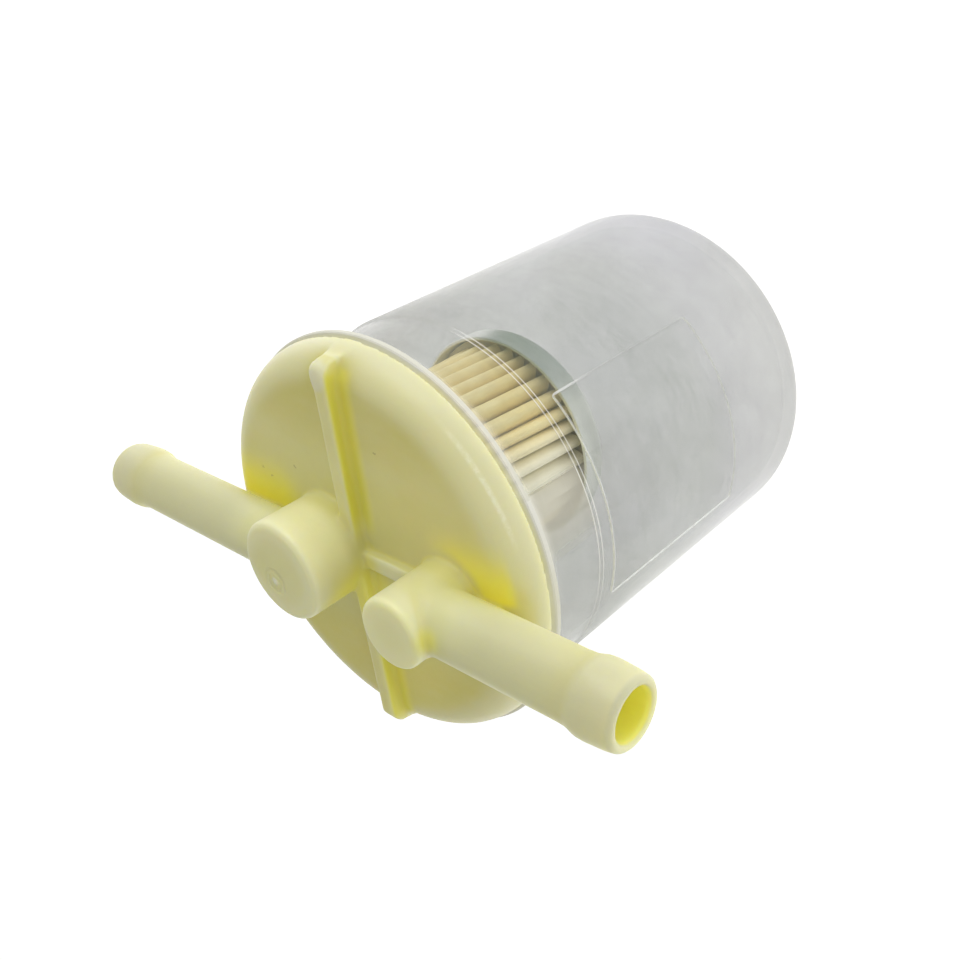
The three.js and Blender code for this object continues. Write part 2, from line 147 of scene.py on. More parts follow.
def lathe(section, segments=192, x=0.0, closed=True, wobble=None):
    """A surface turned about an upright axis through x; the section lists radius and height."""
    section = np.asarray(section, float)
    count = len(section)
    vertices, faces, rings = [], [], []
    for radius, height in section:
        if radius < 1e-6:
            rings.append([len(vertices)] * segments)
            vertices.append((x, 0.0, height))
            continue
        rings.append(list(range(len(vertices), len(vertices) + segments)))
        for k in range(segments):
            angle = 2 * math.pi * k / segments
            r, z = (radius, height) if wobble is None else wobble(radius, height, angle)
            vertices.append((x + r * math.cos(angle), r * math.sin(angle), z))
    for i in range(count if closed else count - 1):
        low, high = rings[i], rings[(i + 1) % count]
        for k in range(segments):
            n = (k + 1) % segments
            corners = [low[k], low[n], high[n], high[k]]
            corners = [c for j, c in enumerate(corners) if c not in corners[:j]]
            if len(corners) > 2:
                faces.append(corners)
    return vertices, faces


def arc(centre_r, centre_z, radius, start, end, steps=8):
    angles = np.radians(np.linspace(start, end, steps + 1))
    return [(centre_r + radius * math.cos(a), centre_z + radius * math.sin(a)) for a in angles]


def sharpen(piece, angle=32):
    """Keeps edges steeper than the angle crisp."""
    piece.data.set_sharp_from_angle(angle=math.radians(angle))


# ---------------------------------------------------------------- the cap's surface

def smooth_union(a, b, blend):
    share = np.clip(0.5 + 0.5 * (b - a) / blend, 0, 1)
    return b + (a - b) * share - blend * share * (1 - share)


def smooth_cut(a, b, blend):
    return -smooth_union(-a, b, blend)


def rounded(dx, dz, edge):
    """Distance to a rounded corner, from the distances past its two straight sides."""
    dx, dz = dx + edge, dz + edge
    return np.minimum(np.maximum(dx, dz), 0) + np.hypot(np.maximum(dx, 0), np.maximum(dz, 0)) - edge


def upright(x, y, z, centre_x, radius, low, high, edge):
    radial = np.hypot(x - centre_x, y) - radius
    return rounded(radial, np.abs(z - (low + high) / 2) - (high - low) / 2, edge)


def bar(x, y, z, low, high, edge):
    half = [(h - l) / 2 - edge for l, h in zip(low, high)]
    middle = [(h + l) / 2 for l, h in zip(low, high)]
    dx, dy, dz = (np.abs(v - m) - s for v, m, s in zip((x, y, z), middle, half))
    outside = np.sqrt(np.maximum(dx, 0) ** 2 + np.maximum(dy, 0) ** 2 + np.maximum(dz, 0) ** 2)
    return outside + np.minimum(np.maximum(np.maximum(dx, dy), dz), 0) - edge


def nozzle(x, y, z, root, tip):
    side = math.copysign(1, tip)
    inward = (tip - x) * side
    profile = np.interp(inward, [0.0, 0.5, 1.5, 3.9, 4.9, 6.2, 7.4],
                        [BARB_R - 0.55, BARB_R - 0.3, BARB_R - 0.16, BARB_R,
                         BARB_R - 0.06, NOZZLE_R + 0.06, NOZZLE_R])
    radial = np.hypot(y, z - NOZZLE_Z) - profile
    return rounded(radial, np.maximum(-inward, (root - x) * side), NOZZLE_EDGE)


def nozzle_bore(x, y, z, root, tip):
    side = math.copysign(1, tip)
    inward = (tip - x) * side
    profile = NOZZLE_BORE_R + BORE_FLARE * np.clip(1 - inward / BORE_FLARE_DEPTH, 0, 1)
    radial = np.hypot(y, z - NOZZLE_Z) - profile
    return np.maximum(radial, (root - x) * side)


def cap_outside(x, y, z):
    """The cap's outer shape, solid all the way down."""
    radial = np.hypot(x, y)
    disc = np.hypot(np.maximum(radial - CAP_R + SHOULDER_R, 0), np.maximum(z - RIM_Z, 0)) - SHOULDER_R
    cap = np.maximum(disc, z - FACE_Z)

    crest = FACE_Z + LONG_RIB_HEIGHT
    lean = LONG_RIB_SLANT * np.maximum(y, 0) + LONG_RIB_LOW_SLANT * np.minimum(y, 0)
    rib = rounded(np.abs(x - LONG_RIB_X + lean) - RIB_HALF, z - crest, 0.45)
    ends = rounded(np.abs(y) - CAP_R + RIB_END_INSET, z - crest, RIB_END_R)
    cap = smooth_union(cap, np.maximum(rib, ends), RIB_BLEND)
    pad = upright(x, y - PAD_Y, z, PAD_X, PAD_R, FACE_Z - 2.0, FACE_Z + PAD_HEIGHT, 0.7)
    cap = smooth_union(cap, pad, PAD_BLEND)
    short_ribs = ((-SHORT_RIBS_END_X, OUTLET_X), (LONG_RIB_X, INLET_X), (INLET_X, SHORT_RIBS_END_X))
    for low_x, high_x in short_ribs:
        low, high = (low_x, -RIB_HALF, FACE_Z - 1), (high_x, RIB_HALF, FACE_Z + SHORT_RIB_HEIGHT)
        cap = smooth_union(cap, bar(x, y, z, low, high, 0.4), SHORT_RIB_BLEND)

    outlet = upright(x, y, z, OUTLET_X, OUTLET_R, FACE_Z - 1.5, OUTLET_TOP_Z, 0.9)
    inlet = upright(x, y, z, INLET_X, INLET_R, FACE_Z - 1.5, INLET_TOP_Z, 0.7)
    outlet = smooth_union(outlet, nozzle(x, y, z, OUTLET_X, OUTLET_TIP_X), OUTLET_BLEND)
    inlet = smooth_union(inlet, nozzle(x, y, z, INLET_X, INLET_TIP_X), INLET_BLEND)
    return smooth_union(smooth_union(cap, outlet, BOSS_BLEND), inlet, BOSS_BLEND)


def cap_moulding(outside, x, y, z):
    """The outer shape with its rim, its hollow underside, its spigots and its passages."""
    radial = np.hypot(x, y)
    cap = np.maximum(outside, RIM_Z - z)
    cap = smooth_cut(cap, np.maximum(radial - RING_BORE_R, z - UNDERSIDE_Z), 0.4)
    ring = rounded(np.abs(radial - (RING_R + RING_BORE_R) / 2) - (RING_R - RING_BORE_R) / 2,
                   np.abs(z - (RING_LOW_Z + UNDERSIDE_Z) / 2) - (UNDERSIDE_Z - RING_LOW_Z) / 2, 0.2)
    cap = smooth_union(cap, ring, 0.3)
    spigot = upright(x, y, z, OUTLET_X, SPIGOT_R, SPIGOT_LOW_Z, SPIGOTS_TOP_Z, 0.3)
    socket = upright(x, y, z, INLET_X, SOCKET_R, SOCKET_LOW_Z, SPIGOTS_TOP_Z, 0.3)
    cap = smooth_union(smooth_union(cap, spigot, 0.4), socket, 0.4)
    for root, tip, low in ((OUTLET_X, OUTLET_TIP_X, SPIGOT_LOW_Z - PASSAGE_OVERRUN),
                           (INLET_X, INLET_TIP_X, SOCKET_LOW_Z - PASSAGE_OVERRUN)):
        drop = np.maximum(np.hypot(x - root, y) - NOZZLE_BORE_R, np.maximum(z - NOZZLE_Z, low - z))
        passage = smooth_union(nozzle_bore(x, y, z, root, tip), drop, 0.3)
        cap = smooth_cut(cap, passage, 0.25)
    return cap


def relief(field, sigma):
    """How far the surroundings of each grid point stand over it: above 0 in hollows, below 0 on edges."""
    filled = np.clip(0.5 - field / GRID, 0, 1)
    reach = int(3 * sigma / GRID)
    taps = np.exp(-0.5 * (np.arange(-reach, reach + 1) * GRID / sigma) ** 2)
    taps /= taps.sum()
    for axis in range(3):
        padded = np.pad(filled, [(reach, reach) if k == axis else (0, 0) for k in range(3)], mode="edge")
        count = filled.shape[axis]
        filled = sum(np.take(padded, range(j, j + count), axis) * tap for j, tap in enumerate(taps))
    return filled - 0.5


def surface_nets(field, low, step):
    """Quads over the zero level of a sampled distance field."""
    stride = np.array([field.shape[1] * field.shape[2], field.shape[2], 1])
    cells, points, quads = [], [], []
    for axis in range(3):
        first, second = [slice(None)] * 3, [slice(None)] * 3
        first[axis], second[axis] = slice(0, -1), slice(1, None)
        a, b = field[tuple(first)], field[tuple(second)]
        edges = np.argwhere((a < 0) != (b < 0))
        va, vb = a[tuple(edges.T)], b[tuple(edges.T)]
        where = edges.astype(float)
        where[:, axis] += va / (va - vb)
        u, v = (axis + 1) % 3, (axis + 2) % 3
        ring = []
        for du, dv in ((-1, -1), (0, -1), (0, 0), (-1, 0)):
            cell = edges.copy()
            cell[:, u] += du
            cell[:, v] += dv
            ring.append(cell @ stride)
            cells.append(ring[-1])
            points.append(where)
        ring = np.array(ring).T
        ring[va > 0] = ring[va > 0][:, ::-1]
        quads.append(ring)
    cells, points, quads = np.concatenate(cells), np.concatenate(points), np.concatenate(quads)
    names, inverse = np.unique(cells, return_inverse=True)
    count = np.bincount(inverse)
    vertices = np.stack([np.bincount(inverse, points[:, k]) / count for k in range(3)], axis=1)
    return low + vertices * step, np.searchsorted(names, quads)


def sampled(field, place):
    """The field between its grid points."""
    cell = np.clip(np.floor(place).astype(int), 0, np.array(field.shape) - 2)
    share = place - cell
    value = 0
    for corner in np.ndindex(2, 2, 2):
        weight = np.prod(np.where(corner, share, 1 - share), axis=1)
        value = value + weight * field[tuple((cell + corner).T)]
    return value


def make_cap():
    low = np.array([OUTLET_TIP_X, -CAP_R, SPIGOT_LOW_Z]) - 2 * GRID
    high = np.array([INLET_TIP_X, CAP_R, INLET_TOP_Z]) + 2 * GRID
    count = np.ceil((high - low) / GRID).astype(int) + 1
    x, y, z = (low[k] + GRID * np.arange(count[k], dtype=np.float32) for k in range(3))
    x, y, z = x[:, None, None], y[None, :, None], z[None, None, :]
    outside = cap_outside(x, y, z).astype(np.float32)
    vertices, faces = surface_nets(cap_moulding(outside, x, y, z), low, GRID)
    place = (vertices - low) / GRID
    vertices = np.clip(vertices, np.array(CAD_LOW) / MM, np.array(CAD_HIGH) / MM)
    piece = new_piece("cap_moulding", vertices, faces, ["cap", "outlet_elbow", "inlet_elbow"],
                      "yellow_plastic")
    for name, sigma in (("relief", 1.8), ("fine_relief", 0.6)):
        layer = piece.data.attributes.new(name, "FLOAT", "POINT")
        layer.data.foreach_set("value", sampled(relief(outside, sigma), place).astype(np.float32))
    return piece


# ---------------------------------------------------------------- bowl, film and element

def make_bowl():
    outside = [(0, 0), (8, 0), (16, 0)]
    outside += arc(BOWL_R - BOWL_EDGE_R, BOWL_EDGE_R, BOWL_EDGE_R, -90, 0, 14)
    outside += [(BOWL_R, 12), (BOWL_R, 20), (BOWL_R, 30), (BOWL_R, 40)]
    outside += [(BOWL_R, STEP_Z - 0.28), (BOWL_R - 0.05, STEP_Z - 0.2), (COLLAR_R + 0.05, STEP_Z + 0.2),
                (COLLAR_R, STEP_Z + 0.28), (COLLAR_R, 52), (COLLAR_R, FLANGE_LOW_Z - 2.4)]
    outside += [(COLLAR_R + 0.1, FLANGE_LOW_Z - 1.7), (COLLAR_R + 0.3, FLANGE_LOW_Z - 1.1),
                (COLLAR_R + 0.75, FLANGE_LOW_Z - 0.5), (COLLAR_R + 1.4, FLANGE_LOW_Z - 0.1),
                (FLANGE_R - 0.2, FLANGE_LOW_Z), (FLANGE_R, FLANGE_LOW_Z + 0.15),
                (FLANGE_R, FLANGE_TOP_Z - 0.15), (FLANGE_R - 0.15, FLANGE_TOP_Z),
                (BOWL_BORE_R, FLANGE_TOP_Z)]
    inside = [(BOWL_BORE_R, 58), (BOWL_BORE_R, 50), (BOWL_BORE_R, 36), (BOWL_BORE_R, 20)]
    edge = BOWL_INNER_EDGE_R
    inside += arc(BOWL_BORE_R - edge, BOWL_FLOOR + edge, edge, 0, -90, 12)
    inside += [(14, BOWL_FLOOR), (7, BOWL_FLOOR), (0, BOWL_FLOOR)]
    segments = 256
    vertices, faces = lathe(outside + inside, segments, closed=False)
    piece = new_piece("bowl_clear", vertices, faces, ["bowl"], "clear_plastic")
    skin = segments * (len(outside) - 1)
    for polygon in piece.data.polygons[skin:]:
        polygon.material_index = 1
    piece.visible_shadow = piece.visible_diffuse = False
    sharpen(piece, 40)
    return piece


def make_film():
    """A film with rounded corners that follows the bowl's side."""
    corner = FILM_CORNER_R
    steps_corner, steps_around, steps_up = 10, 72, 40
    width = FILM_R * (FILM_END - FILM_START)
    height = FILM_TOP_Z - FILM_LOW_Z

    def inset(along):
        from_end = min(along, width - along)
        if from_end >= corner:
            return 0.0
        return corner - math.sqrt(max(corner ** 2 - (corner - from_end) ** 2, 0))

    around = np.concatenate([np.linspace(0, corner, steps_corner)[:-1],
                             np.linspace(corner, width - corner, steps_around),
                             np.linspace(width - corner, width, steps_corner)[1:]])
    vertices, faces = [], []
    rows = steps_up + 1
    for radius in (FILM_R, FILM_R + FILM_THICKNESS):
        for along in around:
            cut = inset(along)
            angle = FILM_START + along / FILM_R
            for j in range(rows):
                z = FILM_LOW_Z + cut + (height - 2 * cut) * j / steps_up
                vertices.append((radius * math.cos(angle), radius * math.sin(angle), z))
    columns = len(around)

    def at(side, i, j):
        return (side * columns + i) * rows + j

    for i in range(columns - 1):
        for j in range(rows - 1):
            faces.append((at(0, i, j), at(0, i, j + 1), at(0, i + 1, j + 1), at(0, i + 1, j)))
            faces.append((at(1, i, j), at(1, i + 1, j), at(1, i + 1, j + 1), at(1, i, j + 1)))
    skin = len(faces)
    top, end = rows - 1, columns - 1
    for i in range(columns - 1):
        faces.append((at(0, i, 0), at(0, i + 1, 0), at(1, i + 1, 0), at(1, i, 0)))
        faces.append((at(0, i, top), at(1, i, top), at(1, i + 1, top), at(0, i + 1, top)))
    for j in range(rows - 1):
        faces.append((at(0, 0, j), at(1, 0, j), at(1, 0, j + 1), at(0, 0, j + 1)))
        faces.append((at(0, end, j), at(0, end, j + 1), at(1, end, j + 1), at(1, end, j)))
    piece = new_piece("label_skin", vertices, faces, ["label_film"], "label_film")
    for polygon in piece.data.polygons[skin:]:
        polygon.material_index = 1
    sharpen(piece, 50)
    return piece


def make_paper():
    """One closed pleated band with uneven, slightly skewed folds."""
    random = np.random.default_rng(PAPER_SEED)
    per_pleat, rows = 22, 26
    uneven = 0.14                            # of a pleat's pitch
    pitch = 2 * math.pi / PLEATS
    bunched = len(PLEAT_TIPS_DEG)
    spread = np.linspace(PLEAT_TIPS_DEG[-1], 360 + PLEAT_TIPS_DEG[0], PLEATS - bunched + 2)[1:-1]
    rest = np.radians(np.concatenate([PLEAT_TIPS_DEG, spread]))
    rest[bunched:] += random.uniform(-uneven, uneven, PLEATS - bunched) * pitch
    skew = random.uniform(-uneven, uneven, PLEATS) * pitch
    crease, crease_at = random.uniform(0.0, 0.035, PLEATS), random.uniform(0.38, 0.62, PLEATS)
    bow = random.uniform(-0.10, 0.10, PLEATS) * pitch
    drop = random.uniform(0.0, 0.55, PLEATS)
    twist = math.radians(PAPER_TWIST_DEG)
    vertices = []
    for j in range(rows):
        t = j / (rows - 1)
        z = PAPER_LOW_Z + (PAPER_TOP_Z - PAPER_LOW_Z) * t
        line = []
        tips = [rest[i] + twist * t + skew[i] * t + bow[i] * math.sin(math.pi * t) for i in range(PLEATS)]
        for i in range(PLEATS):
            before = tips[i - 1] - (2 * math.pi if i == 0 else 0)
            after = tips[(i + 1) % PLEATS] + (2 * math.pi if i == PLEATS - 1 else 0)
            start, end = (before + tips[i]) / 2, (tips[i] + after) / 2
            for k in range(per_pleat):
                u = k / per_pleat
                wave = abs(math.sin(math.pi * u)) ** FOLD_POWER
                wave -= crease[i] * math.exp(-((u - crease_at[i]) / 0.07) ** 2)
                angle = start + (end - start) * u
                outer = PLEAT_R - PAPER_THICKNESS / 2 - drop[i] * (0.6 + 0.4 * math.cos(3 * t + i))
                radius = PLEAT_ROOT_R + (outer - PLEAT_ROOT_R) * wave
                line.append((radius * math.cos(angle), radius * math.sin(angle)))
        line = np.array(line)
        along = np.roll(line, -1, axis=0) - np.roll(line, 1, axis=0)
        along /= np.linalg.norm(along, axis=1)[:, None]
        normal = np.stack([along[:, 1], -along[:, 0]], axis=1)
        for side in (0.5, -0.5):
            edge = line + normal * PAPER_THICKNESS * side
            vertices += [(ELEMENT_X + p[0], p[1], z) for p in edge]
    count = PLEATS * per_pleat
    faces = []
    for j in range(rows):
        for k in range(count):
            n = (k + 1) % count
            outer, inner = j * 2 * count, (j * 2 + 1) * count
            if j < rows - 1:
                up, up_in = outer + 2 * count, inner + 2 * count
                faces.append((outer + k, outer + n, up + n, up + k))
                faces.append((inner + k, up_in + k, up_in + n, inner + n))
            if j == 0:
                faces.append((outer + k, inner + k, inner + n, outer + n))
            if j == rows - 1:
                faces.append((outer + k, outer + n, inner + n, inner + k))
    piece = new_piece("paper_pleats", vertices, faces, ["pleated_paper"], "filter_paper")
    sharpen(piece, 60)
    return piece


def make_far_plate():
    low, lip, radius, t = FAR_PLATE_LOW_Z, FAR_PLATE_LIP_Z, FAR_PLATE_R, PLATE_THICKNESS
    section = [(0, low), (5.0, low), (5.6, low + 0.12), (9.4, low + 0.12), (10.0, low), (13.4, low)]
    section += arc(radius - 1.0, low + 1.0, 1.0, -90, 0, 8)
    section += [(radius, low + 1.6), (radius - 0.12, low + 2.0), (radius - 0.12, lip - 0.7)]
    section += [(radius, lip - 0.3), (radius - 0.05, lip - 0.08), (radius - 0.2, lip)]
    section += [(radius - t + 0.1, lip), (radius - t, lip - 0.15), (radius - t, low + 1.0)]
    section += arc(radius - t - 0.5, low + t + 0.5, 0.5, 0, -90, 6)
    section += [(0, low + t)]
    turned = lathe(section, 160, ELEMENT_X, closed=False)
    piece = new_piece("far_plate", *turned, ["far_end_plate"], "plated_steel")
    sharpen(piece, 45)
    return piece


def make_near_plate():
    top, lip, radius, t = NEAR_PLATE_TOP_Z, NEAR_PLATE_LIP_Z, NEAR_PLATE_R, PLATE_THICKNESS
    hole = NEAR_PLATE_HOLE_R
    section = [(hole, top - t), (radius - t - 0.5, top - t)]
    section += arc(radius - t - 0.5, top - t - 0.5, 0.5, 90, 0, 6)
    section += [(radius - t, lip + 0.15), (radius - t + 0.15, lip)]
    section += [(radius - 0.15, lip), (radius, lip + 0.15)]
    section += arc(radius - 1.0, top - 1.0, 1.0, 0, 90, 8)
    section += [(hole + 0.15, top), (hole, top - 0.15)]
    turned = lathe(section, 160, ELEMENT_X)
    piece = new_piece("near_plate", *turned, ["near_end_plate"], "plated_steel")
    sharpen(piece, 45)
    return piece


def make_potting(name, node):
    """A poured ring of resin with an uneven meniscus where it wets the pleats."""
    low, high = (np.array(corner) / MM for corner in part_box(node))
    outer, inner = (high[0] - low[0]) / 2, RESIN_BORE_R
    span = high[2] - low[2]
    far = high[2] < (PAPER_LOW_Z + PAPER_TOP_Z) / 2
    free, seat = (high[2], low[2]) if far else (low[2], high[2])
    sign = 1 if far else -1
    section = [(inner, seat), (outer - 0.1, seat), (outer, seat + 0.1 * sign), (outer, free - 0.05 * sign),
               (outer - 0.6, free - 0.45 * span * sign), (outer - 1.6, free - 0.5 * span * sign),
               (inner + 1.2, free - 0.5 * span * sign), (inner + 0.4, free - 0.4 * span * sign),
               (inner, free - 0.1 * sign)]

    def wobble(r, z, a):
        lift = 0.08 * span * math.sin(PLEATS * a) if abs(z - seat) > 0.4 * span and r < outer - 0.3 else 0
        return r, z - lift * sign * 0.5

    if not far:
        section = section[::-1]
    return new_piece(name, *lathe(section, 168, ELEMENT_X, wobble=wobble), [node], "potting_resin")


def make_seal():
    low, high = (np.array(corner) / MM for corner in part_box("outlet_seal"))
    head, neck, bore = SEAL_HEAD_R, SEAL_NECK_R, SEAL_BORE_R
    seat = NEAR_PLATE_TOP_Z + 0.2
    section = [(bore, low[2]), (neck - 0.2, low[2]), (neck, low[2] + 0.2), (neck, seat - 0.1),
               (neck + 0.1, seat), (head - 0.25, seat), (head, seat + 0.25), (head, high[2] - 0.25),
               (head - 0.25, high[2]), (bore + 0.15, high[2]), (bore, high[2] - 0.15)]
    piece = new_piece("seal_grommet", *lathe(section, 96, ELEMENT_X), ["outlet_seal"], "rubber")
    sharpen(piece, 40)
    return piece


def make_tube():
    low, top, radius, bore = TUBE_LOW_Z, TUBE_TOP_Z, TUBE_R, TUBE_BORE_R
    section = [(bore, 45), (bore, low + 0.2), (bore + 0.2, low), (radius - 0.3, low), (radius, low + 0.3),
               (radius, 36), (radius, 44), (radius, 52), (radius, top - 0.2), (radius - 0.2, top),
               (bore + 0.15, top), (bore, top - 0.15)]
    piece = new_piece("inlet_pipe", *lathe(section, 96, INLET_X), ["inlet_tube"], "tube_plastic")
    sharpen(piece, 40)
    return piece


# ---------------------------------------------------------------- materials

# Tints of the cap's waxy plastic, with painted highlights, painted bounce light and painted shade among them
WAX = {
    "dark": (0.690, 0.655, 0.250),
    "plain": (0.735, 0.700, 0.300),
    "flow": (0.74, 0.73, 0.41),
    "low_face_shade": (0.68, 0.62, 0.10),
    "high_face_shade": (0.64, 0.595, 0.18),
    "pale_highlight": (0.745, 0.730, 0.440),
    "lit_boss_side": (0.97, 0.94, 0.55),
    "keen_edge_highlight": (0.74, 0.75, 0.57),
    "rim_sheen_left": (0.72, 0.72, 0.53),
    "rim_sheen_right": (0.64, 0.64, 0.45),
    "pad": (0.72, 0.72, 0.60),
    "lit_inlet_disc": (0.84, 0.82, 0.44),
    "hollow": (0.87, 0.815, 0.140),
    "rib_hollow": (0.74, 0.700, 0.108),
    "bore": (0.96, 0.89, 0.20),
    "speck": (0.30, 0.25, 0.12),
    "gate": (0.88, 0.88, 0.72),
    "glint": (0.92, 0.92, 0.78),
}
# What the cap's colour is multiplied by: along the nozzles from underside to top, painted light below and
# painted shade on top, and at the inlet's tip
NOZZLE_PAINTED_SHADING = [(0.0, (1.0, 1.0, 0.87)), (0.5, (0.83, 0.82, 0.76)), (1.0, (0.64, 0.64, 0.67))]
NOZZLE_GAIN = (1.31, 1.31, 1.31)
TIP_SHADE = (0.87, 0.88, 0.94)

# Tints of the bowl's milky wall, with painted shade and painted highlights among them
MILK = {
    "end": (0.255, 0.255, 0.320),
    "side": (0.200, 0.210, 0.190),
    "middle": (0.185, 0.210, 0.155),
    "haze": (0.28, 0.29, 0.29),
    "low_end": (0.275, 0.28, 0.28),
    "shade": (0.10, 0.115, 0.085),
    "veil": (0.465, 0.448, 0.370),
    "collar": (0.75, 0.74, 0.66),
    "step_highlights": (0.84, 0.83, 0.80),
}


class Shader:
    """A node material whose coordinates are millimetres in the part's own frame."""

    def __init__(self, name):
        self.material = bpy.data.materials.new(name)
        self.material.use_nodes = True
        self.tree = self.material.node_tree
        self.tree.nodes.clear()
        self.output = self.tree.nodes.new("ShaderNodeOutputMaterial")
        self.bsdf = self.tree.nodes.new("ShaderNodeBsdfPrincipled")
        self.tree.links.new(self.bsdf.outputs[0], self.output.inputs["Surface"])
        place = self.tree.nodes.new("ShaderNodeTexCoord")
        self.mm = self.vector("MULTIPLY", place.outputs["Object"], (1 / MM, 1 / MM, 1 / MM))
        split = self.tree.nodes.new("ShaderNodeSeparateXYZ")
        self.tree.links.new(self.mm, split.inputs[0])
        self.x, self.y, self.z = split.outputs

    def feed(self, socket, value):
        if isinstance(value, bpy.types.NodeSocket):
            self.tree.links.new(value, socket)
        elif isinstance(value, (tuple, list)) and len(value) == 3 and socket.type == "RGBA":
            socket.default_value = (*value, 1)
        else:
            socket.default_value = value

    def set(self, **values):
        for name, value in values.items():
            self.feed(self.bsdf.inputs[name.replace("_", " ")], value)

    def vector(self, operation, a, b):
        node = self.tree.nodes.new("ShaderNodeVectorMath")
        node.operation = operation
        self.feed(node.inputs[0], a)
        self.feed(node.inputs[1], b)
        return node.outputs["Value" if operation == "DISTANCE" else "Vector"]

    def math(self, operation, a, b=0.0, clamp=False):
        node = self.tree.nodes.new("ShaderNodeMath")
        node.operation = operation
        node.use_clamp = clamp
        self.feed(node.inputs[0], a)
        self.feed(node.inputs[1], b)
        return node.outputs[0]

    def times(self, *values):
        return reduce(lambda a, b: self.math("MULTIPLY", a, b), values)

    def plus(self, *values):
        return reduce(lambda a, b: self.math("ADD", a, b), values)

    def most(self, *values):
        return reduce(lambda a, b: self.math("MAXIMUM", a, b), values)

    def minus(self, a, b):
        return self.math("SUBTRACT", a, b)

    def away(self, value, centre=0.0):
        return self.math("ABSOLUTE", self.minus(value, centre))

    def mapped(self, value, low, high, to_low=0.0, to_high=1.0, smooth=True):
        node = self.tree.nodes.new("ShaderNodeMapRange")
        node.interpolation_type = "SMOOTHSTEP" if smooth else "LINEAR"
        self.feed(node.inputs[0], value)
        for k, v in enumerate((low, high, to_low, to_high)):
            self.feed(node.inputs[k + 1], v)
        return node.outputs[0]

    def rising(self, value, low, high, most=1.0):
        return self.mapped(value, low, high, 0.0, most)

    def falling(self, value, low, high, most=1.0):
        return self.mapped(value, low, high, most, 0.0)

    def band(self, value, centre, half, soft):
        return self.falling(self.away(value, centre), half, half + soft)

    def near(self, point, inner, outer):
        """1 at a point and 0 past a distance, both in millimetres."""
        return self.falling(self.vector("DISTANCE", self.mm, point), inner, outer)

    def from_axis(self, across, point):
        """Distance from the axis through a point; across is 0 along that axis and 1 across it."""
        return self.vector("DISTANCE", self.vector("MULTIPLY", self.mm, across), point)

    def from_upright(self, x=0.0):
        return self.from_axis((1, 1, 0), (x, 0, 0))

    def clockwise_of(self, angle):
        """Distance past the upright plane through the bowl's axis at an angle."""
        return self.minus(self.times(self.x, math.sin(angle)), self.times(self.y, math.cos(angle)))

    def noise(self, scale, detail=2.0, roughness=0.5, stretch=None, offset=(0, 0, 0)):
        node = self.tree.nodes.new("ShaderNodeTexNoise")
        place = self.vector("ADD", self.mm, offset)
        if stretch:
            place = self.vector("MULTIPLY", place, stretch)
        self.feed(node.inputs["Vector"], place)
        node.inputs["Scale"].default_value = scale
        node.inputs["Detail"].default_value = detail
        node.inputs["Roughness"].default_value = roughness
        return node.outputs["Fac"]

    def noise_colour(self, scale):
        node = self.tree.nodes.new("ShaderNodeTexNoise")
        self.feed(node.inputs["Vector"], self.mm)
        node.inputs["Scale"].default_value = scale
        return node.outputs["Color"]

    def attribute(self, name):
        node = self.tree.nodes.new("ShaderNodeAttribute")
        node.attribute_name = name
        return node.outputs["Fac"]

    def facing(self, blend):
        node = self.tree.nodes.new("ShaderNodeLayerWeight")
        node.inputs["Blend"].default_value = blend
        return node.outputs["Facing"]

    def ramp(self, factor, stops):
        node = self.tree.nodes.new("ShaderNodeValToRGB")
        self.feed(node.inputs[0], factor)
        elements = node.color_ramp.elements
        while len(elements) < len(stops):
            elements.new(0.5)
        for element, (place, colour) in zip(elements, stops):
            element.position = place
            element.color = (*colour, 1)
        return node.outputs[0]

    def mix(self, factor, a, b, blend="MIX"):
        node = self.tree.nodes.new("ShaderNodeMix")
        node.data_type = "RGBA"
        node.blend_type = blend
        sockets = [s for s in node.inputs if s.enabled]
        for socket, value in zip(sockets, (factor, a, b)):
            self.feed(socket, value)
        return next(s for s in node.outputs if s.enabled)

    def tinted(self, colour, tint):
        return self.mix(1.0, colour, tint, "MULTIPLY")

    def bump(self, height, distance, strength=1.0):
        node = self.tree.nodes.new("ShaderNodeBump")
        node.inputs["Strength"].default_value = strength
        node.inputs["Distance"].default_value = distance * MM
        self.feed(node.inputs["Height"], height)
        self.feed(self.bsdf.inputs["Normal"], node.outputs[0])


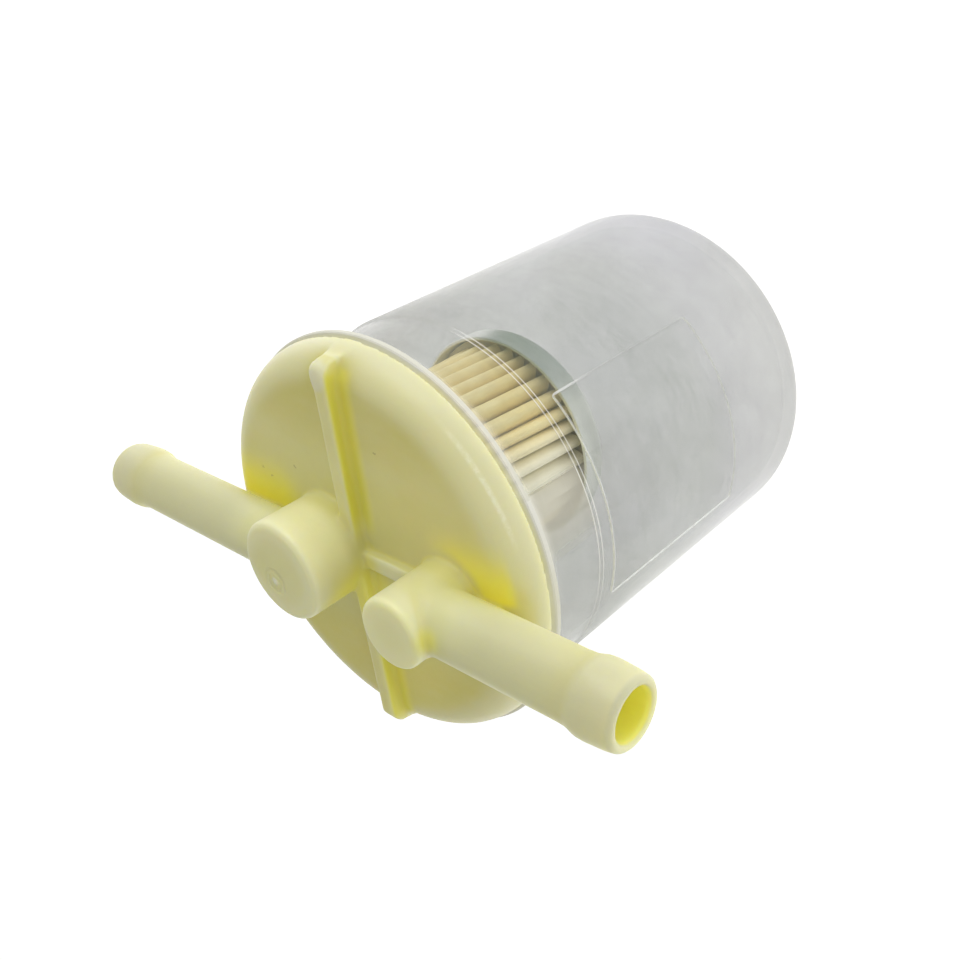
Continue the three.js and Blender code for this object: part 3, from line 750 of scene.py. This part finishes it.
def yellow_plastic():
    """Waxy nylon: painted highlights make it paler on edges and curved walls, and painted bounce light makes
    it deeper yellow where walls meet and light sinks in.
    """
    s = Shader("yellow_plastic")
    wide, fine = s.attribute("relief"), s.attribute("fine_relief")
    cloud = s.noise(0.09, 3, 0.55)
    flow = s.noise(0.16, 3, 0.5, stretch=(0.35, 1.0, 1.0), offset=(3, 11, 5))
    colour = s.ramp(cloud, [(0.30, WAX["dark"]), (0.70, WAX["plain"])])

    # Painted shade: the face is a little deeper towards both ends of the long rib.
    low_face_shade = s.times(s.falling(s.z, FACE_Z + 1.5, FACE_Z + 2.5, 0.5), s.falling(s.y, -16.0, -6.0))
    colour = s.mix(low_face_shade, colour, WAX["low_face_shade"])
    high_face_shade = s.times(s.falling(s.z, FACE_Z + 1.5, FACE_Z + 2.5, 0.8), s.rising(s.y, 12.0, 21.0))
    colour = s.mix(high_face_shade, colour, WAX["high_face_shade"])

    # Painted highlights: edges and curved walls are paler.
    from_rib = s.plus(s.x, s.times(s.math("MAXIMUM", s.y, 0.0), LONG_RIB_SLANT),
                      s.times(s.math("MINIMUM", s.y, 0.0), LONG_RIB_LOW_SLANT))
    on_rib = s.times(s.band(from_rib, LONG_RIB_X, 1.5, 0.8), s.band(s.z, FACE_Z + 1.0, 1.2, 0.6))
    edges = s.times(s.mapped(wide, -0.01, -0.13), s.mapped(on_rib, 0.0, 1.0, 1.0, 0.35))
    walls = s.times(s.rising(s.z, FACE_Z + 1.5, FACE_Z + 4.0, 0.5),
                    s.falling(s.z, OUTLET_TOP_Z - 0.5, OUTLET_TOP_Z - 0.1))
    colour = s.mix(s.most(edges, walls), colour, WAX["pale_highlight"])
    # Painted light on the outlet boss's walls, on the side towards +Y.
    lit_boss_side = s.times(s.rising(s.x, OUTLET_X - 6.0, OUTLET_X + 2.0),
                        s.falling(s.x, OUTLET_X + 7.5, OUTLET_X + 8.5), walls, s.rising(s.y, -2.0, 3.0))
    colour = s.mix(lit_boss_side, colour, WAX["lit_boss_side"])
    colour = s.mix(s.rising(flow, 0.42, 0.66, 0.25), colour, WAX["flow"])
    # Painted highlights along keen edges, fainter on the long rib.
    keen_highlight = s.times(s.mapped(fine, -0.06, -0.22, 0.0, 0.5), s.mapped(on_rib, 0.0, 1.0, 1.0, 0.5))
    colour = s.mix(keen_highlight, colour, WAX["keen_edge_highlight"])
    # Painted sheen: the shoulder's lower part is paler, more so towards the left.
    rim_sheen = s.mix(s.rising(s.x, -8.0, 6.0), WAX["rim_sheen_left"], WAX["rim_sheen_right"])
    colour = s.mix(s.falling(s.z, RIM_Z + 0.6, RIM_Z + 3.6, 0.75), colour, rim_sheen)
    # Painted highlight on the top of the pad at the rib's end.
    pad = s.near((PAD_X, PAD_Y + 0.3, FACE_Z + PAD_HEIGHT), 1.4, 2.4)
    colour = s.mix(s.times(pad, 0.6), colour, WAX["pad"])
    # Painted light: the inlet boss's top disc is paler.
    lit_inlet_disc = s.rising(s.z, INLET_TOP_Z - 1.2, INLET_TOP_Z - 0.2, 0.75)
    colour = s.mix(lit_inlet_disc, colour, WAX["lit_inlet_disc"])

    # Painted bounce light: hollows beside the rib, the nozzles and the outlet boss, and tight corners, are
    # deeper yellow.
    face = s.band(s.z, FACE_Z + 0.4, 0.9, 0.6)
    beside_rib = s.times(s.rising(from_rib, 0.9, 1.25), s.falling(from_rib, 1.9, 4.0),
                         s.rising(s.away(s.y, -3.0), 5.0, 10.0))
    beside_nozzle = s.times(s.rising(s.y, 1.0, 2.2), s.falling(s.y, 3.5, 10.0),
                            s.rising(s.away(s.x, 1.0), 10.0, 16.0),
                            s.rising(s.from_upright(INLET_X), 4.6, 6.6))
    under_boss = s.times(s.near((OUTLET_X + 5.5, -4.5, FACE_Z + 2.0), 2.0, 7.0), 0.85)
    crotch = s.times(s.near(CROTCH, 0.5, 2.4), 0.7)
    bounce_glow = s.most(s.times(s.most(beside_rib, beside_nozzle), face), under_boss, crotch)
    bounce_glow = s.times(bounce_glow, s.falling(s.from_upright(), 24.0, 26.2))
    corner = s.rising(fine, 0.07, 0.20, 0.45)
    colour = s.mix(s.most(bounce_glow, corner), colour, s.mix(beside_rib, WAX["hollow"], WAX["rib_hollow"]))
    # Painted light: the insides of the nozzles' bores are bright yellow.
    from_nozzles = s.from_axis((0, 1, 1), (0, 0, NOZZLE_Z))
    inside = s.times(s.falling(from_nozzles, NOZZLE_BORE_R + 0.05, NOZZLE_BORE_R + 0.3),
                     s.rising(s.away(s.x, (OUTLET_X + INLET_X) / 2), 13.0, 16.0))
    colour = s.mix(inside, colour, WAX["bore"])

    ragged = s.vector("ADD", s.mm, s.vector("SUBTRACT", s.noise_colour(2.0), (0.5, 0.5, 0.5)))
    for x, y, size in SPECKS:
        from_speck = s.vector("DISTANCE", ragged, (x, y, FACE_Z))
        colour = s.mix(s.falling(from_speck, size * 0.5, size, 0.5), colour, WAX["speck"])

    # Painted light on the nozzles' undersides and painted shade on their tops even them out from underside to
    # top.
    across = s.plus(s.times(s.y, 0.2), s.times(s.minus(s.z, NOZZLE_Z), 0.1))
    painted_shading = s.ramp(s.mapped(across, -0.9, 0.9, smooth=False), NOZZLE_PAINTED_SHADING)
    on_nozzle = s.times(s.rising(s.away(s.x, 4.0), 16.0, 24.0), s.rising(s.z, FACE_Z + 0.1, FACE_Z + 0.5),
                        s.falling(s.away(s.y), 4.6, 5.2))
    colour = s.mix(on_nozzle, colour, s.tinted(s.tinted(colour, painted_shading), NOZZLE_GAIN))
    tip = s.rising(s.x, INLET_TIP_X - 0.9, INLET_TIP_X - 0.3)
    colour = s.mix(tip, colour, s.tinted(colour, TIP_SHADE))

    from_gate = s.vector("DISTANCE", s.mm, GATE)
    pip = s.falling(from_gate, 0.30, 0.75)
    colour = s.mix(s.times(pip, 0.7), colour, WAX["gate"])
    glint = s.times(s.band(s.z, FACE_Z - 1.8, 0.06, 0.32), s.rising(s.x, 12.0, 15.0),
                    s.rising(s.y, 7.0, 13.0), s.falling(s.y, 18.0, 22.5),
                    s.mapped(s.noise(1.6, 3, 0.7), 0.35, 0.65, 0.18, 0.50))
    colour = s.mix(glint, colour, WAX["glint"])

    grain = s.noise(1.6, 3, 0.6)
    s.set(Base_Color=colour, Roughness=s.mapped(grain, 0.3, 0.7, 0.34, 0.46))
    s.set(Subsurface_Weight=0.7, Subsurface_Radius=(1.0, 0.85, 0.30), Subsurface_Scale=0.003, IOR=1.49)
    ring = s.times(s.band(from_gate, 1.5, 0.10, 0.45), -0.8)
    s.bump(s.plus(ring, pip, s.times(grain, 0.10), s.times(flow, 0.5)), 0.20, 0.8)
    return s.material


def clear_plastic():
    """Milky clear plastic. The haze sits in the outer skin, so each wall is counted once."""
    s = Shader("clear_plastic")
    haze = s.noise(0.11, 3, 0.55)
    streak = s.noise(0.35, 3, 0.6, stretch=(0.35, 0.35, 1.0), offset=(5, 1, 8))
    swirl = s.noise(0.28, 2, 0.45, stretch=(0.16, 0.16, 1.0), offset=(1, 4, 2))
    side = s.rising(s.z, 6.0, 26.0)
    front = s.plus(s.times(s.x, 0.97 / BOWL_R), s.times(s.y, 0.24 / BOWL_R))
    middle = s.times(s.rising(s.z, 13.0, 30.0), s.rising(front, 0.10, 0.70))
    low_end = s.times(s.rising(front, 0.4, 0.9), s.falling(s.z, 17.0, 26.0))
    shade = s.most(s.near((24.3, 7.5, 44.0), 3.0, 13.0), s.times(s.near((15.0, 20.0, 34.0), 3.0, 15.0), 0.5))
    clearer = s.near((21.4, 13.8, 53.0), 2.0, 8.5)
    past = s.clockwise_of(VEIL_START)
    veil = s.times(s.rising(past, 0.0, 0.45), s.falling(past, 4.0, 10.0), s.rising(s.x, 10.0, 14.0),
                   s.rising(s.z, STEP_Z, STEP_Z + 0.3))
    collar, rim = s.rising(s.z, 57.0, 59.4), s.rising(s.z, 58.4, 59.8)
    # Painted highlights along the two edges of the step.
    step_highlights = s.math("ADD", s.band(s.z, STEP_Z - 0.2, 0.02, 0.07), s.band(s.z, STEP_Z + 0.2, 0.02, 0.07),
                   clamp=True)
    step_highlights = s.times(step_highlights, s.mapped(s.x, 3.0, 8.0, 0.05, 1.0), s.mapped(s.y, -12.0, 4.0, 0.45, 1.0))

    colour = s.mix(side, MILK["end"], MILK["side"])
    colour = s.mix(middle, colour, MILK["middle"])
    colour = s.mix(s.rising(haze, 0.35, 0.7, 0.4), colour, MILK["haze"])
    colour = s.mix(low_end, colour, MILK["low_end"])
    colour = s.mix(s.times(shade, 0.8), colour, MILK["shade"])
    colour = s.mix(veil, colour, MILK["veil"])
    colour = s.mix(s.times(collar, 0.95), colour, MILK["collar"])
    colour = s.mix(step_highlights, colour, MILK["step_highlights"])

    alpha = s.plus(s.mapped(haze, 0.3, 0.7, 0.32, 0.36), s.times(side, 0.06),
                   s.rising(streak, 0.45, 0.75, 0.035),
                   s.times(s.band(swirl, 0.52, 0.010, 0.05), side, 0.016),
                   s.times(clearer, -0.15), s.times(s.facing(0.35), 0.08),
                   s.times(collar, 0.16), s.times(rim, 0.26), s.times(shade, 0.05), s.times(veil, 0.38))
    alpha = s.math("ADD", alpha, s.times(step_highlights, 0.30), clamp=True)
    scuff = s.noise(0.6, 4, 0.6, stretch=(1, 1, 0.25))
    rough = s.plus(s.mapped(scuff, 0.35, 0.7, 0.10, 0.20), s.times(rim, 0.40))
    s.set(Base_Color=colour, Alpha=alpha, Roughness=rough, IOR=1.35, Specular_IOR_Level=0.3)
    s.bump(s.noise(0.05, 2, 0.5), 0.6, 0.25)
    return s.material


def clear_inner():
    s = Shader("clear_inner")
    ripple = s.noise(0.13, 3, 0.55, stretch=(1, 1, 0.5), offset=(2, 7, 3))
    s.set(Base_Color=s.mix(ripple, (0.30, 0.31, 0.31), (0.50, 0.51, 0.51)))
    s.set(Alpha=s.mapped(ripple, 0.35, 0.65, 0.01, 0.06), IOR=1.35, Specular_IOR_Level=0.3)
    s.set(Roughness=s.mapped(ripple, 0.3, 0.7, 0.12, 0.22))
    s.bump(ripple, 0.4, 0.3)
    return s.material


def label_film():
    """Clear film, with painted highlights where its top and far ends stand off the wall a little and catch
    the light.
    """
    s = Shader("label_film")
    cloud = s.noise(0.12, 3)
    colour = s.mix(s.rising(cloud, 0.35, 0.65), (0.24, 0.27, 0.22), (0.30, 0.32, 0.28))
    far_end = s.times(s.band(s.clockwise_of(FILM_END), 0.0, 0.22, 0.16), s.mapped(s.z, 38.0, 46.0, 0.25, 1.0))
    lit_edges = s.most(s.rising(s.z, FILM_TOP_Z - 0.35, FILM_TOP_Z - 0.12), far_end)
    s.set(Base_Color=s.mix(lit_edges, colour, (0.90, 0.90, 0.89)))
    s.set(Alpha=s.plus(s.mapped(cloud, 0.3, 0.7, 0.018, 0.028), s.times(lit_edges, 0.33)))
    s.set(Roughness=s.mapped(s.noise(1.2, 3), 0.3, 0.7, 0.14, 0.26), IOR=1.35, Specular_IOR_Level=0.3)
    s.bump(s.noise(0.25, 3), 0.05, 0.4)
    return s.material


def film_edge():
    s = Shader("film_edge")
    grain = s.noise(1.5, 2)
    s.set(Base_Color=s.mix(grain, (0.80, 0.82, 0.80), (0.90, 0.91, 0.90)), IOR=1.5)
    s.set(Alpha=s.mapped(grain, 0.3, 0.7, 0.55, 0.75), Roughness=s.mapped(grain, 0.3, 0.7, 0.25, 0.4))
    return s.material


def filter_paper():
    """Cream paper, with painted shade down in the folds and near the far plate, and painted light on the
    pleats on the +X side.
    """
    s = Shader("filter_paper")
    fibre = s.noise(1.1, 4, 0.65, stretch=(1.0, 1.0, 0.28))
    blotch = s.noise(0.16, 2, 0.5, offset=(9, 2, 4))
    colour = s.ramp(fibre, [(0.30, (0.90, 0.74, 0.33)), (0.68, (0.97, 0.86, 0.46))])
    colour = s.mix(s.rising(blotch, 0.4, 0.65, 0.5), colour, (0.92, 0.74, 0.33))
    # Painted light on the pleats on the +X side.
    lit_side_pleats = s.times(s.falling(s.y, 2.0, 9.0), s.rising(s.y, -9.0, -5.0),
                       s.rising(s.x, ELEMENT_X + 4.0, ELEMENT_X + 9.0))
    colour = s.mix(lit_side_pleats, colour, (1.0, 0.96, 0.76))
    # Painted shade down in the folds.
    fold_shade = s.falling(s.from_upright(ELEMENT_X), 10.5, 13.4, 0.75)
    colour = s.mix(fold_shade, colour, (0.46, 0.35, 0.17))
    # Painted shade near the far plate.
    plate_shade = s.times(s.falling(s.z, 33.5, 37.5, 0.35), s.rising(s.x, -9.0, -4.0))
    colour = s.mix(plate_shade, colour, (0.52, 0.43, 0.26))
    s.set(Base_Color=colour, Roughness=s.mapped(fibre, 0.3, 0.7, 0.78, 0.92), IOR=1.4)
    s.set(Sheen_Weight=0.15)
    s.bump(fibre, 0.03, 0.5)
    return s.material


def plated_steel():
    """Dull plated steel, with painted shade on its side towards +Y and painted light on its front and its
    left end.
    """
    s = Shader("plated_steel")
    tarnish = s.noise(0.25, 4, 0.6)
    spin = s.noise(0.8, 3, 0.5, stretch=(0.2, 0.2, 3.0))
    colour = s.ramp(tarnish, [(0.3, (0.46, 0.52, 0.49)), (0.7, (0.58, 0.63, 0.60))])
    # Painted shade on the side towards +Y.
    colour = s.mix(s.rising(s.y, 12.5, 15.5), colour, s.tinted(colour, (0.80, 0.82, 0.80)))
    # Painted light on the front.
    lit_front = s.times(s.falling(s.y, 7.0, 13.5), s.rising(s.y, -9.0, -4.0))
    colour = s.mix(lit_front, colour, (0.93, 0.95, 0.92))
    # Painted light on the left end, where the steel is also less metallic.
    left_end = s.times(s.falling(s.x, -10.0, -4.5), s.rising(s.y, 2.0, 5.0))
    colour = s.mix(s.times(left_end, 0.9), colour, (0.97, 0.97, 0.95))
    s.set(Base_Color=colour, Metallic=s.mapped(left_end, 0.0, 1.0, 0.75, 0.05))
    s.set(Roughness=s.mapped(spin, 0.3, 0.7, 0.34, 0.52))
    s.bump(spin, 0.04, 0.4)
    return s.material


def white_plastic():
    s = Shader("white_plastic")
    cloud = s.noise(0.3, 3)
    s.set(Base_Color=s.ramp(cloud, [(0.3, (0.72, 0.71, 0.66)), (0.7, (0.82, 0.81, 0.77))]))
    s.set(Roughness=s.mapped(cloud, 0.3, 0.7, 0.38, 0.5), IOR=1.49)
    s.bump(s.noise(1.5, 2), 0.03, 0.5)
    return s.material


def potting_resin():
    s = Shader("potting_resin")
    cloud = s.noise(0.4, 4, 0.6)
    colour = s.ramp(cloud, [(0.3, (0.50, 0.38, 0.17)), (0.7, (0.64, 0.51, 0.27))])
    # Painted light: the resin is paler towards its left end.
    s.set(Base_Color=s.mix(s.falling(s.x, -10.0, -4.5, 0.8), colour, (0.90, 0.84, 0.66)))
    s.set(Roughness=s.mapped(cloud, 0.3, 0.7, 0.2, 0.4), IOR=1.55)
    s.bump(s.noise(0.9, 3), 0.08, 0.6)
    return s.material


def rubber():
    s = Shader("rubber")
    dust = s.noise(0.7, 4, 0.6)
    s.set(Base_Color=s.ramp(dust, [(0.3, (0.020, 0.020, 0.021)), (0.75, (0.050, 0.048, 0.045))]))
    s.set(Roughness=s.mapped(dust, 0.3, 0.7, 0.55, 0.75))
    s.bump(s.noise(2.2, 3), 0.04, 0.6)
    return s.material


def tube_plastic():
    s = Shader("tube_plastic")
    cloud = s.noise(0.2, 3)
    s.set(Base_Color=s.ramp(cloud, [(0.3, (0.80, 0.80, 0.74)), (0.7, (0.86, 0.86, 0.82))]))
    s.set(Alpha=s.times(s.mapped(cloud, 0.3, 0.7, 0.15, 0.19), s.mapped(s.z, 31.0, 54.0, 0.12, 1.0)))
    s.set(Roughness=s.mapped(cloud, 0.3, 0.7, 0.35, 0.5), IOR=1.45, Specular_IOR_Level=0.3)
    s.bump(s.noise(1.2, 2), 0.03, 0.5)
    return s.material


# ---------------------------------------------------------------- the part

def dress(piece, *materials):
    """Gives a piece its materials and keeps which faces take which."""
    indices = [p.material_index for p in piece.data.polygons]
    piece.data.materials.clear()
    for material in materials:
        piece.data.materials.append(material)
    piece.data.polygons.foreach_set("material_index", indices)


MATERIALS = {make.__name__: make() for make in (
    yellow_plastic, clear_plastic, label_film, filter_paper, plated_steel,
    white_plastic, potting_resin, rubber, tube_plastic)}

dress(make_cap(), MATERIALS["yellow_plastic"])
dress(make_bowl(), MATERIALS["clear_plastic"], clear_inner())
dress(make_film(), MATERIALS["label_film"], film_edge())
dress(make_paper(), MATERIALS["filter_paper"])
dress(make_far_plate(), MATERIALS["plated_steel"])
dress(make_near_plate(), MATERIALS["plated_steel"])
dress(make_potting("far_resin", "far_potting_ring"), MATERIALS["potting_resin"])
dress(make_potting("near_resin", "near_potting_ring"), MATERIALS["potting_resin"])
dress(make_seal(), MATERIALS["rubber"])
dress(make_tube(), MATERIALS["tube_plastic"])
for slot in bpy.data.objects["core_tube"].material_slots:
    slot.link = "OBJECT"
    slot.material = MATERIALS["white_plastic"]


# ---------------------------------------------------------------- the studio

def make_floor():
    corners = [(x * FLOOR_HALF, y * FLOOR_HALF, FLOOR_Z) for x, y in ((-1, -1), (1, -1), (1, 1), (-1, 1))]
    mesh = bpy.data.meshes.new("floor")
    mesh.from_pydata(corners, [], [(0, 1, 2, 3)])
    floor = bpy.data.objects.new("floor", mesh)
    bpy.context.scene.collection.objects.link(floor)
    floor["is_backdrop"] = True
    s = Shader("floor")
    s.set(Base_Color=s.mix(s.noise(0.004, 2), (0.86, 0.86, 0.86), (0.90, 0.90, 0.90)), Roughness=0.9)
    s.set(Emission_Color=(1, 1, 1), Emission_Strength=FLOOR_GLOW)
    mesh.materials.append(s.material)


def area_light(name, target, position, size, power):
    light = bpy.data.lights.new(name, "AREA")
    light.shape = "DISK"
    light.size = size
    light.energy = power
    lamp = bpy.data.objects.new(name, light)
    bpy.context.scene.collection.objects.link(lamp)
    lamp.location = position
    lamp.rotation_mode = "QUATERNION"
    lamp.rotation_quaternion = (Vector(target) - Vector(position)).to_track_quat("-Z", "Y")


def make_camera():
    """The camera stands above and to one side of the cap and is rolled, so the bowl runs up and away."""
    data = bpy.data.cameras.new("camera")
    data.sensor_width = SENSOR_WIDTH
    data.lens = LENS
    data.clip_start, data.clip_end = 0.01, 100.0
    camera = bpy.data.objects.new("camera", data)
    bpy.context.scene.collection.objects.link(camera)
    forward, right = Vector(CAMERA_FORWARD).normalized(), Vector(CAMERA_RIGHT)
    right = (right - forward * right.dot(forward)).normalized()
    turn = Matrix((right, right.cross(forward), -forward)).transposed()
    camera.matrix_world = Matrix.Translation(CAMERA_POSITION) @ turn.to_4x4()
    bpy.context.scene.camera = camera


make_floor()
middle = (CAD_LOW + CAD_HIGH) / 2
area_light("key", middle, **KEY)
area_light("fill", middle, **FILL)
make_camera()

world = bpy.data.worlds.new("studio")
bpy.context.scene.world = world
world.use_nodes = True
background = world.node_tree.nodes["Background"]
background.inputs["Color"].default_value = (1, 1, 1, 1)
background.inputs["Strength"].default_value = WORLD_STRENGTH
bpy.context.scene.cycles.transparent_max_bounces = 24
bpy.context.scene.view_settings.view_transform = "Standard"
bpy.context.scene.view_settings.look = "None"
